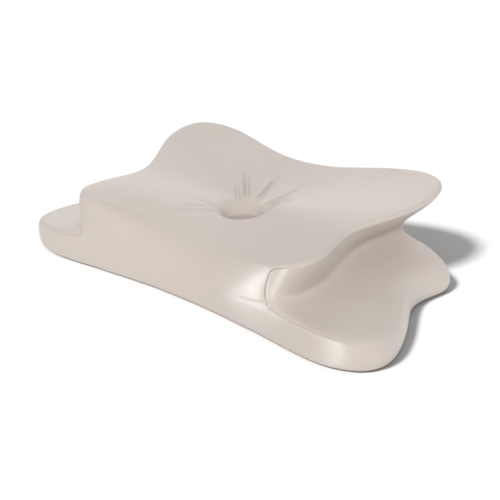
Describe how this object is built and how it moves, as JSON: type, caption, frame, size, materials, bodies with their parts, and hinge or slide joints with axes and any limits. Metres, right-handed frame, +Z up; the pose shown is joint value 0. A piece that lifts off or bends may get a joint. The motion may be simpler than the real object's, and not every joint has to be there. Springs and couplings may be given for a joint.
{
  "type": "cervical pillow",
  "caption": "Contoured foam pillow in a smooth knit cover: low winged base, overhanging upper wings, arm recess on each short side, low front edge, tufted dimple.",
  "frame": {"origin": "under the middle of the box that holds the pillow, on the surface it rests on", "axes": "+X along the pillow from one arm recess to the other, -Y towards the low front edge, +Z up"},
  "size_m": [0.6114, 0.3524, 0.1282],
  "materials": {
    "knit_cover": "smooth satin knit, warm beige"
  },
  "bodies": {
    "root": {"pillow": "knit_cover"}
  },
  "joints": []
}
